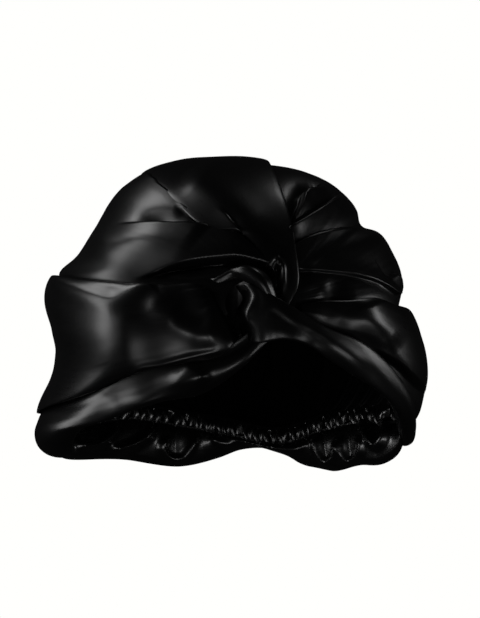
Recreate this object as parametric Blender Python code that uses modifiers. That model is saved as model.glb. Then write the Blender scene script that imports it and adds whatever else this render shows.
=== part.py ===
"""Satin head wrap, pre-tied, in metres with +Z up and the face opening towards -Y.

Every piece is cloth laid over one rounded head form. Places on the form are shares of its half
width, half height and depth, so each piece follows when a driving size changes.
"""

import math

import bpy
import numpy as np

# Driving sizes
WIDTH = 0.270
HEIGHT = 0.218
FRONT_DEPTH = 0.104
BACK_DEPTH = 0.122
SEAT_HEIGHT = 0.200  # from the lowest point of the frill up to where the head bears

# Cloth
CLOTH = 0.0015
ELASTIC_CLOTH = 0.0026
GAP = 0.0003
FACET_ROOM = 0.0008  # keeps the flat facets of two curved layers apart
LAYER = CLOTH + GAP + FACET_ROOM

# Folds
BAND_LOFT = 0.008  # how far a band's middle stands above its edges
STRAP_LOFT = 0.004
PLEAT_DEPTH = 0.006
PLEAT_FADE = 0.11  # share of the crown's length over which a pleat ends
CREASE_REACH = 0.010
CREASE_STARTS = 0.15  # share of its line at which a crease has its full depth
CREASE_FADES = 0.75  # share of its line from which it runs out
SIDE_FADE = 0.020  # how far before and behind the sides the front creases run out
DENT_SHARE = 0.8  # the most of a band's loft that a dent takes away
NAPE_GATHER = 0.0025
NAPE_GATHERS = 12
GATHERS_START = 0.70  # share of the crown's length where the gathers above the nape start
GATHERS_FULL = 0.92
PINCH = 1.6  # how much narrower the back is near the neck
PINCH_TOP = 0.45  # height of the form, in half heights, where the pinch starts
PINCH_BOTTOM = -0.95
TAIL_LIFT = 0.14  # how far above the elastic a band's tail ends, in half heights

# Elastic and frill
ELASTIC_HEIGHT = 0.008
FRILL_DROP = 0.020
FRILL_WAVE = 0.0035
FRILL_WAVES = 22
END_TUCK = 0.004  # how far the elastic's ends stand in behind the bands
END_SHARE = 0.15  # share of the nape line over which they tuck in
ELASTIC_RIPPLE = 0.0004
SEAM = 0.0011

# Grid steps
CROWN_ROUND = 48
CROWN_ALONG = 26
FRILL_STEPS = 4  # facets to a wave
FRILL_ROWS = 4

# The crown's outline seen from the front, anticlockwise from the lower right, in half sizes
CROWN_OUTLINE = (
    # across, up
    (0.36, -0.94),
    (0.64, -0.90),
    (0.84, -0.78),
    (0.93, -0.63),
    (0.94, -0.46),
    (0.89, -0.16),
    (0.86, 0.02),
    (0.88, 0.16),
    (0.83, 0.37),
    (0.76, 0.49),
    (0.67, 0.55),
    (0.65, 0.63),
    (0.56, 0.76),
    (0.40, 0.87),
    (0.20, 0.92),
    (0.08, 0.93),
    (-0.10, 0.92),
    (-0.26, 0.91),
    (-0.42, 0.87),
    (-0.53, 0.79),
    (-0.68, 0.53),
    (-0.80, 0.27),
    (-0.86, 0.12),
    (-0.82, -0.10),
    (-0.80, -0.28),
    (-0.84, -0.47),
    (-0.92, -0.68),
    (-0.91, -0.80),
    (-0.70, -0.89),
    (-0.36, -0.94),
    (0.00, -0.96),
)

# The line of the elastic on the form, from the left end round the nape to the right end
NAPE_LINE = (
    # across, back, up
    (-0.76, -0.15, -0.50),
    (-0.70, 0.26, -0.53),
    (-0.53, 0.61, -0.57),
    (-0.24, 0.67, -0.69),
    (0.02, 0.62, -0.74),
    (0.26, 0.54, -0.78),
    (0.48, 0.58, -0.66),
    (0.66, 0.44, -0.56),
    (0.76, -0.10, -0.50),
)

# Where the crown's cloth passes the side of the head, from its left rim over the top to its right
SHOULDER = (
    # share of the way round, across, back, up
    (0.00, -0.48, -0.76, -0.44),
    (0.06, -0.90, -0.30, -0.42),
    (0.13, -0.99, 0.00, -0.12),
    (0.24, -0.94, 0.00, 0.34),
    (0.36, -0.62, 0.00, 0.78),
    (0.48, -0.06, 0.00, 1.00),
    (0.60, 0.46, 0.00, 0.88),
    (0.73, 0.84, 0.00, 0.54),
    (0.86, 0.99, 0.00, 0.06),
    (0.94, 0.92, -0.30, -0.34),
    (1.00, 0.64, -0.70, -0.30),
)

MIDDLE_REACH = 0.92
OUTLINE_HOLD = 3.0  # how close to the outline the form keeps round
FORM_STEP = 0.06  # how far round a point the form's slope is taken
KNOT = (0.15, 0.05)
KNOT_OPENING = (0.17, 0.15)
KNOT_ARC = (205.0, -32.0)  # bearings where the crown's cloth starts and ends round the knot
CROWN_FRONT = 0.36  # share of the crown's length from the knot to the shoulder
CROWN_FRONT_STEPS = 0.45  # share of its steps there, as the folds are closer together
BAND_FRONT = 0.62

# A band's section: how far across it and what share of its loft
ROLLED = (
    # across, rise
    (0.06, 0.00),
    (0.01, 0.16),
    (0.00, 0.42),
    (0.03, 0.70),
    (0.14, 0.92),
    (0.50, 1.00),
    (0.86, 0.92),
    (0.97, 0.70),
    (1.00, 0.42),
    (0.99, 0.16),
    (0.94, 0.00),
)
LOWER_ROLLED = (
    # across, rise
    (0.06, 0.00),
    (0.01, 0.16),
    (0.00, 0.42),
    (0.03, 0.70),
    (0.14, 0.92),
    (0.40, 1.00),
    (0.62, 0.72),
    (0.82, 0.18),
    (1.00, 0.00),
)
UPPER_ROLLED = tuple((1.0 - across, rise) for across, rise in reversed(LOWER_ROLLED))

# The bands, each from the knot outwards. A row of edges is where the lower and the upper edge are
# seen from the front; past the outline they turn to the back. The tail runs on to these shares of
# the nape line. A row of rise is the share along, the cloth layers below and the share of the loft.
BANDS = {
    "centre_strap": {
        "section": ROLLED,
        "loft": STRAP_LOFT,
        "steps": 29,
        "edges": (
            # lower across, up, upper across, up
            (0.235, 0.03, 0.285, 0.03),
            (0.215, 0.23, 0.330, 0.14),
            (0.150, 0.31, 0.335, 0.24),
            (0.070, 0.44, 0.322, 0.36),
            (-0.11, 0.495, 0.310, 0.47),
            (-0.27, 0.655, 0.290, 0.59),
            (-0.38, 0.775, 0.255, 0.74),
            (-0.47, 0.88, 0.215, 0.87),
            (-0.54, 0.97, 0.180, 0.94),
        ),
        "tail": (0.40, 0.56),
        "rise": (
            (0.00, 1.0, 0.1),
            (0.08, 1.0, 0.8),
            (0.30, 0.9, 1.0),
            (0.62, 0.9, 1.0),
            (0.90, 0.9, 0.4),
            (1.00, 0.9, 0.2),
        ),
    },
    "left_band": {
        "section": ROLLED,
        "loft": BAND_LOFT,
        "steps": 25,
        "edges": (
            # lower across, up, upper across, up
            (0.05, -0.16, -0.08, 0.12),
            (-0.04, -0.25, -0.13, 0.15),
            (-0.24, -0.30, -0.30, 0.15),
            (-0.40, -0.34, -0.45, 0.155),
            (-0.65, -0.49, -0.62, 0.17),
            (-0.84, -0.60, -0.76, 0.18),
            (-0.95, -0.70, -0.87, 0.18),
        ),
        "tail": (0.23, 0.38),
        "rise": (
            (0.00, 2.0, 0.2),
            (0.12, 2.0, 0.8),
            (0.30, 2.0, 1.0),
            (0.45, 2.8, 0.6),
            (0.58, 3.0, 0.4),
            (0.74, 2.4, 0.4),
            (0.90, 1.8, 0.4),
            (1.00, 1.6, 0.2),
        ),
    },
    "left_brim": {
        "section": LOWER_ROLLED,
        "loft": BAND_LOFT,
        "steps": 17,
        "edges": (
            # lower across, up, upper across, up
            (0.16, -0.19, 0.12, -0.12),
            (0.03, -0.36, -0.04, -0.22),
            (-0.14, -0.485, -0.24, -0.25),
            (-0.30, -0.52, -0.40, -0.29),
            (-0.50, -0.59, -0.65, -0.43),
            (-0.69, -0.67, -0.88, -0.57),
            (-0.78, -0.86, -1.00, -0.78),
        ),
        "tail": None,
        "rise": (
            (0.00, 1.0, 0.1),
            (0.12, 1.0, 0.4),
            (0.30, 1.0, 0.8),
            (0.85, 1.0, 1.0),
            (1.00, 1.0, 0.2),
        ),
    },
    "right_band": {
        "section": UPPER_ROLLED,
        "loft": BAND_LOFT,
        "steps": 21,
        "edges": (
            # lower across, up, upper across, up
            (0.34, -0.06, 0.35, 0.04),
            (0.47, -0.16, 0.45, 0.06),
            (0.65, -0.28, 0.56, 0.065),
            (0.76, -0.42, 0.69, 0.085),
            (0.83, -0.58, 0.785, 0.05),
            (0.88, -0.67, 0.86, 0.01),
            (0.91, -0.72, 0.90, -0.04),
        ),
        "tail": (0.79, 0.66),
        "rise": (
            (0.00, 1.0, 0.2),
            (0.12, 1.0, 0.7),
            (0.30, 1.0, 1.0),
            (0.62, 1.8, 0.8),
            (0.90, 1.8, 0.4),
            (1.00, 1.6, 0.2),
        ),
    },
    "crossing_band": {
        "section": ROLLED,
        "loft": BAND_LOFT,
        "steps": 19,
        "edges": (
            # lower across, up, upper across, up
            (0.10, -0.15, 0.06, 0.15),
            (0.22, -0.15, 0.13, 0.14),
            (0.348, -0.183, 0.24, 0.07),
            (0.459, -0.271, 0.41, -0.06),
            (0.56, -0.355, 0.62, -0.185),
            (0.689, -0.459, 0.748, -0.321),
            (0.785, -0.569, 0.844, -0.485),
            (0.826, -0.688, 0.886, -0.645),
            (0.815, -0.835, 0.862, -0.844),
        ),
        "tail": None,
        "rise": (
            (0.00, 2.6, 0.2),
            (0.10, 4.0, 0.8),
            (0.30, 2.6, 1.0),
            (0.80, 2.4, 0.6),
            (1.00, 2.4, 0.2),
        ),
    },
}

# Creases seen from the front, from the knot outwards: the line across and up in half sizes, how far
# the dent reaches to the left and to the right of it in crease reaches, and its depth in pleat depths
CREASES = {
    "crown": (
        {
            "line": ((-0.10, 0.50), (-0.26, 0.70), (-0.42, 0.87)),
            "reach": (1.8, 0.6),
            "depth": 1.5,
        },
        {
            "line": ((0.03, 0.46), (-0.22, 0.52), (-0.55, 0.53)),
            "reach": (1.2, 0.6),
            "depth": 1.5,
        },
        {
            "line": ((0.24, 0.21), (0.05, 0.24), (-0.20, 0.22), (-0.42, 0.18)),
            "reach": (1.0, 0.7),
            "depth": 2.8,
        },
        {
            "line": ((0.32, 0.50), (0.42, 0.62), (0.54, 0.73)),
            "reach": (0.6, 1.3),
            "depth": 1.7,
        },
        {
            "line": ((0.33, 0.40), (0.45, 0.46), (0.60, 0.51), (0.68, 0.51)),
            "reach": (0.6, 1.2),
            "depth": 1.3,
        },
        {
            "line": ((0.34, 0.25), (0.50, 0.24), (0.73, 0.19), (0.84, 0.12)),
            "reach": (1.2, 0.6),
            "depth": 1.8,
        },
    ),
    "left_band": (
        {
            "line": ((-0.08, 0.10), (-0.22, -0.02), (-0.40, -0.10)),
            "reach": (1.2, 0.8),
            "depth": 1.0,
        },
        {
            "line": ((-0.86, 0.16), (-0.66, 0.06), (-0.48, 0.07), (-0.34, 0.14)),
            "reach": (1.0, 1.6),
            "depth": 0.8,
        },
    ),
    "left_brim": (
        {
            "line": ((0.10, -0.20), (-0.10, -0.38), (-0.34, -0.46)),
            "reach": (0.6, 0.8),
            "depth": 0.8,
        },
    ),
    "right_band": (
        {
            "line": ((0.70, -0.20), (0.87, -0.38), (0.98, -0.52)),
            "reach": (0.8, 1.2),
            "depth": 1.0,
        },
    ),
}

# Pleats over the top, sides and back, as shares of the way round the crown
PLEATS = (
    # at the knot, at the nape, half width, depth, from, to
    (0.17, 0.20, 0.020, 1.0, 0.30, 0.95),
    (0.27, 0.28, 0.022, 0.9, 0.34, 0.92),
    (0.35, 0.36, 0.018, 1.1, 0.36, 0.96),
    (0.42, 0.43, 0.020, 0.8, 0.46, 0.94),
    (0.52, 0.51, 0.018, 0.9, 0.44, 0.96),
    (0.62, 0.60, 0.020, 1.1, 0.34, 0.93),
    (0.71, 0.69, 0.018, 0.8, 0.30, 0.95),
    (0.79, 0.77, 0.020, 1.0, 0.32, 0.92),
    (0.88, 0.86, 0.016, 0.8, 0.36, 0.94),
)

# The frill: how far it drops and how far its edge stands out behind the elastic, by share round
FRILL = (
    # share, drop, flare
    (0.00, 0.10, -0.20),
    (0.10, 0.30, -0.20),
    (0.20, 0.90, 0.00),
    (0.28, 1.15, 0.15),
    (0.38, 1.05, 0.20),
    (0.46, 0.75, 0.45),
    (0.50, 0.45, 0.60),
    (0.54, 0.25, 0.70),
    (0.65, 0.25, 0.70),
    (0.70, 0.75, 0.40),
    (0.76, 1.20, 0.15),
    (0.84, 1.35, 0.00),
    (0.92, 0.45, -0.45),
    (1.00, 0.40, -0.50),
)
ELASTIC_SPAN = (0.03, 0.98)
FRILL_SPAN = (0.07, 0.93)

# The rolled loop in the hollow beside the knot, along its middle, thickest at its bend
KNOT_ROLL_RADIUS = 0.0044
KNOT_ROLL = (
    # across, up, lift and radius in roll radii
    (-0.12, 0.205, -2.3, 0.55),
    (0.02, 0.250, -0.9, 0.85),
    (0.11, 0.235, 0.4, 1.00),
    (0.175, 0.165, 1.1, 0.85),
    (0.205, 0.060, 0.7, 0.60),
)
KNOT_ROLL_STEPS = 12


def unit(vectors):
    """Vectors brought to length one."""
    vectors = np.asarray(vectors, float)
    return vectors / np.linalg.norm(vectors, axis=-1, keepdims=True)


def smooth(low, high, value):
    """A soft step from 0 at low to 1 at high."""
    share = np.clip((value - low) / (high - low), 0.0, 1.0)
    return share * share * (3.0 - 2.0 * share)


def through(knots, rows, at):
    """Values on a smooth curve through rows that stand at the given knots."""
    knots = np.asarray(knots, float)
    rows = np.asarray(rows, float)
    at = np.asarray(at, float)
    slopes = np.empty_like(rows)
    steps = np.diff(knots)[:, None]
    rates = np.diff(rows, axis=0) / steps
    slopes[1:-1] = (rates[:-1] * steps[1:] + rates[1:] * steps[:-1]) / (steps[:-1] + steps[1:])
    slopes[0] = rates[0]
    slopes[-1] = rates[-1]
    cell = np.clip(np.searchsorted(knots, at, side="right") - 1, 0, len(knots) - 2)
    width = (knots[cell + 1] - knots[cell])[:, None]
    t = ((at - knots[cell])[:, None]) / width
    return (
        rows[cell] * (1 + 2 * t) * (1 - t) ** 2
        + slopes[cell] * width * t * (1 - t) ** 2
        + rows[cell + 1] * t**2 * (3 - 2 * t)
        + slopes[cell + 1] * width * t**2 * (t - 1)
    )


def reach(across, up):
    """How far the crown's outline lies from its middle in this direction, in half sizes."""
    outline = np.array(CROWN_OUTLINE)
    bearings = np.unwrap(np.arctan2(outline[:, 1], outline[:, 0]))
    lengths = np.hypot(outline[:, 0], outline[:, 1])
    turn = 2 * math.pi
    bearing = (np.arctan2(up, across) - bearings[0]) % turn
    ends = np.append(bearings - bearings[0], turn)
    closed = np.append(lengths, lengths[0])
    return through(ends, closed[:, None], np.ravel(bearing))[:, 0].reshape(np.shape(across))


def spread(across, up):
    """How far the form reaches in this direction: round near its poles, the outline at its side."""
    return MIDDLE_REACH + (reach(across, up) - MIDDLE_REACH) * np.hypot(across, up) ** OUTLINE_HOLD


def form(directions):
    """Points of the head form in these unit directions, in metres."""
    across, back, up = np.moveaxis(np.asarray(directions, float), -1, 0)
    far = spread(across, up)
    narrowing = 1.0 - PINCH * smooth(PINCH_TOP, PINCH_BOTTOM, up) * across**2
    depth = np.where(back < 0.0, FRONT_DEPTH, BACK_DEPTH * narrowing)
    return np.stack(
        (
            far * across * WIDTH / 2,
            depth * back,
            far * up * HEIGHT / 2 + HEIGHT / 2 - SEAT_HEIGHT,
        ),
        axis=-1,
    )


def seen(rows):
    """Unit directions of places seen from the front, in half sizes. Past the outline they turn back."""
    rows = np.asarray(rows, float)
    length = np.linalg.norm(rows, axis=-1)
    ray = rows / length[..., None]
    edge_reach = reach(ray[..., 0], ray[..., 1])
    inside = np.minimum(length / edge_reach, 1.0)
    for _ in range(20):
        inside = length / spread(ray[..., 0] * inside, ray[..., 1] * inside)
        inside = np.minimum(inside, 1.0)
    beyond = np.maximum(length / edge_reach - 1.0, 0.0)
    flat = ray * (inside - beyond)[..., None]
    depth = np.sqrt(np.clip(1.0 - (flat**2).sum(axis=-1), 0.0, 1.0))
    return np.stack((flat[..., 0], np.where(beyond > 0.0, depth, -depth), flat[..., 1]), axis=-1)


def nape(shares):
    """Unit directions along the line of the elastic."""
    knots = np.linspace(0.0, 1.0, len(NAPE_LINE))
    return unit(through(knots, unit(NAPE_LINE), np.atleast_1d(shares)))


def outward(directions):
    """Outward normals of the form in these unit directions."""
    pole = np.where(np.abs(directions[..., 2:]) < 0.8, (0.0, 0.0, 1.0), (0.0, 1.0, 0.0))
    first = unit(np.cross(directions, pole)) * FORM_STEP
    second = np.cross(directions, first)
    run = form(unit(directions + first)) - form(unit(directions - first))
    rise = form(unit(directions + second)) - form(unit(directions - second))
    return unit(np.cross(run, rise))


def normals(grid):
    """Outward normals of a grid of points laid over the form."""
    found = np.cross(np.gradient(grid, axis=0), np.gradient(grid, axis=1))
    found = unit(found)
    middle = np.array((0.0, 0.0, HEIGHT / 2 - SEAT_HEIGHT))
    inward = (found * (grid - middle)).sum() < 0
    return -found if inward else found


def crease_depth(points, creases):
    """How far the creases push each of these points inwards."""
    pushed = np.zeros(points.shape[:-1])
    flat = points[..., (0, 2)]
    for crease in creases:
        rows = np.array(crease["line"])
        line = through(np.linspace(0, 1, len(rows)), rows, np.linspace(0, 1, 24))
        line = line * (WIDTH / 2, HEIGHT / 2) + (0.0, HEIGHT / 2 - SEAT_HEIGHT)
        starts, runs = line[:-1], np.diff(line, axis=0)
        offsets = flat[..., None, :] - starts
        share = np.clip((offsets * runs).sum(-1) / (runs**2).sum(-1), 0.0, 1.0)
        offsets = offsets - share[..., None] * runs
        distances = np.linalg.norm(offsets, axis=-1)
        nearest = distances.argmin(axis=-1)
        pick = nearest[..., None]
        distance = np.take_along_axis(distances, pick, -1)[..., 0]
        along = (nearest + np.take_along_axis(share, pick, -1)[..., 0]) / len(runs)
        run = runs[nearest]
        offset = np.take_along_axis(offsets, pick[..., None], -2)[..., 0, :]
        left = run[..., 0] * offset[..., 1] - run[..., 1] * offset[..., 0] > 0
        width = CREASE_REACH * np.where(left, crease["reach"][0], crease["reach"][1])
        fading = smooth(0.0, CREASE_STARTS, along) * (1.0 - smooth(CREASE_FADES, 1.0, along))
        pushed += PLEAT_DEPTH * crease["depth"] * fading * np.exp(-((distance / width) ** 2))
    return pushed * smooth(SIDE_FADE, -SIDE_FADE, points[..., 1])


def sweep(last, run, end, shares):
    """Unit directions from the last one on along its run, bending to the end."""
    run = unit(run - (run * last).sum() * last)
    turn = math.acos(float(np.clip((last * end).sum(), -1.0, 1.0)))
    control = unit(last + run * math.tan(turn / 2))
    shares = np.asarray(shares)[:, None]
    return unit((1 - shares) ** 2 * last + 2 * shares * (1 - shares) * control + shares**2 * end)


def crown_grid(around, along):
    """The crown's cloth from the knot, over the head, to the nape line."""
    u = np.linspace(0.0, 1.0, around)
    v = np.interp(np.linspace(0.0, 1.0, along), (0.0, CROWN_FRONT_STEPS, 1.0), (0.0, CROWN_FRONT, 1.0))
    bearings = np.radians(np.interp(u, (0.0, 1.0), KNOT_ARC))
    ring = np.stack((np.cos(bearings), np.sin(bearings)), axis=-1)
    starts = seen(np.array(KNOT) + ring * KNOT_OPENING)
    table = np.array(SHOULDER)
    shoulders = unit(through(table[:, 0], table[:, 1:], u))
    ends = nape(u)
    before = v[v < CROWN_FRONT] / CROWN_FRONT
    after = (v[v >= CROWN_FRONT] - CROWN_FRONT) / (1.0 - CROWN_FRONT)
    directions = []
    for start, shoulder, end in zip(starts, shoulders, ends):
        front = unit(start + (shoulder - start) * before[:, None])
        back = sweep(shoulder, shoulder - start, end, after)
        directions.append(np.vstack((front, back)))
    grid = form(np.stack(directions))
    inward = crease_depth(grid, CREASES["crown"])
    across, down = np.meshgrid(u, v, indexing="ij")
    for knot_end, nape_end, half_width, depth, first, last in PLEATS:
        middle = knot_end + (nape_end - knot_end) * down
        fading = smooth(first, first + PLEAT_FADE, down) * (1.0 - smooth(last - PLEAT_FADE, last, down))
        inward += PLEAT_DEPTH * depth * fading * np.exp(-(((across - middle) / half_width) ** 2))
    gathers = 0.5 - 0.5 * np.cos(2 * math.pi * NAPE_GATHERS * across)
    starting = smooth(GATHERS_START, GATHERS_FULL, down)
    inward += NAPE_GATHER * gathers * starting * (1.0 - smooth(GATHERS_FULL, 1.0, down))
    return grid - normals(grid) * inward[..., None]


def edge(rows, nape_share, shares):
    """Unit directions along one edge of a band."""
    front = seen(rows)
    lengths = np.concatenate(((0.0,), np.cumsum(np.linalg.norm(np.diff(front, axis=0), axis=1))))
    knots = lengths / lengths[-1]
    if nape_share is None:
        return unit(through(knots, front, shares))
    before = shares[shares < BAND_FRONT] / BAND_FRONT
    after = (shares[shares >= BAND_FRONT] - BAND_FRONT) / (1.0 - BAND_FRONT)
    end = unit(nape(nape_share)[0] + (0.0, 0.0, TAIL_LIFT))
    tail = sweep(front[-1], front[-1] - front[-2], end, after)
    return np.vstack((unit(through(knots, front, before)), tail))


def band_grid(name, along):
    """A band laid over the crown, its edges rolled under."""
    band = BANDS[name]
    shares = np.linspace(0.0, 1.0, along)
    across = np.array(band["section"])
    edges = np.array(band["edges"])
    tail = band["tail"] or (None, None)
    lower = edge(edges[:, :2], tail[0], shares)[:, None, :]
    upper = edge(edges[:, 2:], tail[1], shares)[:, None, :]
    directions = unit(lower + (upper - lower) * across[None, :, :1])
    grid = form(directions)
    rise = np.array(band["rise"])
    layers, loft = through(rise[:, 0], rise[:, 1:], shares).T
    lifted = layers[:, None] * LAYER + loft[:, None] * band["loft"] * across[None, :, 1]
    dents = crease_depth(grid, CREASES.get(name, ()))
    lifted = lifted - np.minimum(dents, DENT_SHARE * loft[:, None] * band["loft"] * across[None, :, 1])
    return grid + outward(directions) * lifted[..., None]


def nape_strip(span):
    """Shares along the nape line, the points there, the way out and the waves of the cloth."""
    shares = np.linspace(*span, FRILL_WAVES * FRILL_STEPS + 1)
    line = form(nape(shares))
    run = np.gradient(line, axis=0)
    out = unit(np.stack((-run[:, 1], run[:, 0], 0 * run[:, 2]), axis=-1))
    free = smooth(0.0, END_SHARE, shares) * smooth(1.0, 1.0 - END_SHARE, shares)
    line = line - out * (END_TUCK * (1.0 - free))[:, None]
    return shares, line, out, np.cos(2 * math.pi * FRILL_WAVES * shares) * free


def hang(line, out, pushes, drops):
    """Rows of points, each pushed out from the line and hung below it."""
    down = np.array((0.0, 0.0, -1.0))
    rows = [
        line + out * np.reshape(push, (-1, 1)) + down * np.reshape(drop, (-1, 1))
        for push, drop in zip(pushes, drops)
    ]
    return np.stack(rows, axis=1)


def elastic_grid():
    """The elastic's casing, from the crown's lower edge down."""
    _, line, out, wave = nape_strip(ELASTIC_SPAN)
    ripple = ELASTIC_RIPPLE * wave
    return hang(line, out, (ripple, ripple), (SEAM, SEAM + ELASTIC_HEIGHT))


def frill_grid():
    """The frill below the elastic, waved towards its free edge."""
    shares, line, out, wave = nape_strip(FRILL_SPAN)
    table = np.array(FRILL)
    drop, flare = through(table[:, 0], table[:, 1:], shares).T * FRILL_DROP
    down = np.linspace(0.0, 1.0, FRILL_ROWS)
    pushes = [flare * share + FRILL_WAVE * wave * smooth(0.0, 0.9, share) for share in down]
    drops = [ELASTIC_HEIGHT + 2 * (SEAM + GAP) + drop * share for share in down]
    return hang(line, out, pushes, drops)


def satin(name):
    """Near-black satin."""
    material = bpy.data.materials.new(name + "_satin")
    material.use_nodes = True
    shader = material.node_tree.nodes["Principled BSDF"]
    shader.inputs["Base Color"].default_value = (0.008, 0.008, 0.009, 1.0)
    shader.inputs["Roughness"].default_value = 0.34
    shader.inputs["Metallic"].default_value = 0.0
    return material


def add_cloth(name, grid, thickness, collection):
    """A shell of this thickness along a grid of points."""
    rows, columns = grid.shape[:2]
    faces = [
        (i * columns + j, (i + 1) * columns + j, (i + 1) * columns + j + 1, i * columns + j + 1)
        for i in range(rows - 1)
        for j in range(columns - 1)
    ]
    mesh = bpy.data.meshes.new(name)
    mesh.from_pydata([tuple(point) for point in grid.reshape(-1, 3)], [], faces)
    mesh.materials.append(satin(name))
    mesh.shade_smooth()
    cloth = bpy.data.objects.new(name, mesh)
    collection.objects.link(cloth)
    thick = cloth.modifiers.new("thickness", "SOLIDIFY")
    thick.thickness = thickness
    thick.offset = 0.0
    return cloth


def add_knot_roll(collection):
    """The small rolled loop, a tube that tapers to both ends."""
    table = np.array(KNOT_ROLL)
    at = np.linspace(0.0, 1.0, KNOT_ROLL_STEPS)
    across, up, lift, radius = through(np.linspace(0, 1, len(table)), table, at).T
    lift = lift * KNOT_ROLL_RADIUS
    surface = form(seen(np.stack((across, up), axis=-1)))
    middle = np.array((0.0, 0.0, HEIGHT / 2 - SEAT_HEIGHT))
    centre = surface + unit(surface - middle) * lift[:, None]
    curve = bpy.data.curves.new("knot_roll", "CURVE")
    curve.dimensions = "3D"
    curve.bevel_depth = KNOT_ROLL_RADIUS
    curve.bevel_resolution = 2
    curve.use_fill_caps = True
    spline = curve.splines.new("POLY")
    spline.points.add(len(centre) - 1)
    for point, place, size in zip(spline.points, centre, radius):
        point.co = (*place, 1.0)
        point.radius = size
    curve.materials.append(satin("knot_roll"))
    roll = bpy.data.objects.new("knot_roll", curve)
    collection.objects.link(roll)
    return roll


def main():
    for found in list(bpy.data.objects):
        bpy.data.objects.remove(found, do_unlink=True)
    collection = bpy.data.collections.new("head_wrap")
    bpy.context.scene.collection.children.link(collection)

    add_cloth("crown", crown_grid(CROWN_ROUND, CROWN_ALONG), CLOTH, collection)
    for name, band in BANDS.items():
        add_cloth(name, band_grid(name, band["steps"]), CLOTH, collection)
    add_knot_roll(collection)

    add_cloth("nape_elastic", elastic_grid(), ELASTIC_CLOTH, collection)
    add_cloth("nape_ruffle", frill_grid(), CLOTH, collection)


main()
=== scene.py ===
# Black satin head wrap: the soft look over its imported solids
import math

import bpy
import numpy as np
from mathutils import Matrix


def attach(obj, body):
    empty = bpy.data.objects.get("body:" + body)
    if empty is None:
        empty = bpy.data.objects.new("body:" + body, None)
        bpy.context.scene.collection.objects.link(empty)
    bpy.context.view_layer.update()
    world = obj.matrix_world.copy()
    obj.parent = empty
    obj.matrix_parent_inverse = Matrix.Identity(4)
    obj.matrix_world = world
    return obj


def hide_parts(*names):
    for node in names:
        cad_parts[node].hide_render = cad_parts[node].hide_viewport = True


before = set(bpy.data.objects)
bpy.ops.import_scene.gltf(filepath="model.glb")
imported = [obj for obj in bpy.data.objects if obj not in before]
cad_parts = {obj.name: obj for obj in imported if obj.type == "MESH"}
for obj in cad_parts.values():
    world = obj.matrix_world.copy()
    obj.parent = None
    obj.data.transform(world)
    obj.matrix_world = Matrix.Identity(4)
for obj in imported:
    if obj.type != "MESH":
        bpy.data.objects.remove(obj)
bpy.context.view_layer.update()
print("frame loaded:", sorted(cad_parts))

# the rounded form that all the cloth lies on, as in the solids
head = {
    "width": 0.270,
    "height": 0.218,
    "frontDepth": 0.104,
    "backDepth": 0.122,
    "seatHeight": 0.200,
    "layer": 0.0026,  # one thickness of cloth with its gap
    "pinch": 1.6,  # how much shallower the back gets low down at the sides
    "pinchFrom": 0.45,
    "pinchTo": -0.95,
    "middleReach": 0.92,  # half sizes that the form reaches well inside its outline
    "outlineHold": 3.0,  # how soon the outline's own shape gives way to that
    "slopeStep": 0.03,
    "steep": 0.8,  # slopes are measured round another pole above this rise
    "settleRounds": 20,
    # seen from the front, anticlockwise from the lower right, in half sizes
    "outline": (
        (0.36, -0.94), (0.64, -0.90), (0.84, -0.78), (0.93, -0.63), (0.94, -0.46), (0.89, -0.16),
        (0.86, 0.02), (0.88, 0.16), (0.83, 0.37), (0.76, 0.49), (0.67, 0.55), (0.65, 0.63),
        (0.56, 0.76), (0.40, 0.87), (0.20, 0.92), (0.08, 0.93), (-0.10, 0.92), (-0.26, 0.91),
        (-0.42, 0.87), (-0.53, 0.79), (-0.68, 0.53), (-0.80, 0.27), (-0.86, 0.12), (-0.82, -0.10),
        (-0.80, -0.28), (-0.84, -0.47), (-0.92, -0.68), (-0.91, -0.80), (-0.70, -0.89),
        (-0.36, -0.94), (0.00, -0.96),
    ),
    # the elastic's line from the left end round the nape to the right: across, back, up
    "napeLine": (
        (-0.76, -0.15, -0.50), (-0.70, 0.26, -0.53), (-0.53, 0.61, -0.57), (-0.24, 0.67, -0.69),
        (0.02, 0.62, -0.74), (0.26, 0.54, -0.78), (0.48, 0.58, -0.66), (0.66, 0.44, -0.56),
        (0.76, -0.10, -0.50),
    ),
}
middle = np.array((0.0, 0.0, head["height"] / 2 - head["seatHeight"]))


def unit(vectors):
    vectors = np.asarray(vectors, float)
    return vectors / np.linalg.norm(vectors, axis=-1, keepdims=True)


def smooth(low, high, value):
    share = np.clip((value - low) / (high - low), 0.0, 1.0)
    return share * share * (3.0 - 2.0 * share)


def through(knots, rows, at):
    # a smooth curve through rows that stand at the knots
    knots, rows, at = np.asarray(knots, float), np.asarray(rows, float), np.asarray(at, float)
    slopes = np.empty_like(rows)
    steps = np.diff(knots)[:, None]
    rates = np.diff(rows, axis=0) / steps
    slopes[1:-1] = (rates[:-1] * steps[1:] + rates[1:] * steps[:-1]) / (steps[:-1] + steps[1:])
    slopes[0] = rates[0]
    slopes[-1] = rates[-1]
    cell = np.clip(np.searchsorted(knots, at, side="right") - 1, 0, len(knots) - 2)
    width = (knots[cell + 1] - knots[cell])[:, None]
    t = (at - knots[cell])[:, None] / width
    return (
        rows[cell] * (1 + 2 * t) * (1 - t) ** 2
        + slopes[cell] * width * t * (1 - t) ** 2
        + rows[cell + 1] * t**2 * (3 - 2 * t)
        + slopes[cell + 1] * width * t**2 * (t - 1)
    )


def travelled(rows):
    # how far it is along the rows to each of them
    return np.concatenate(((0.0,), np.cumsum(np.linalg.norm(np.diff(rows, axis=0), axis=1))))


def uneven(rng, limits, at):
    # wanders between the first two limits, drawn anew at as many even marks as the third says
    low, high, marks = limits
    return np.interp(at, np.linspace(0.0, 1.0, marks), rng.uniform(low, high, marks))


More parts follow.
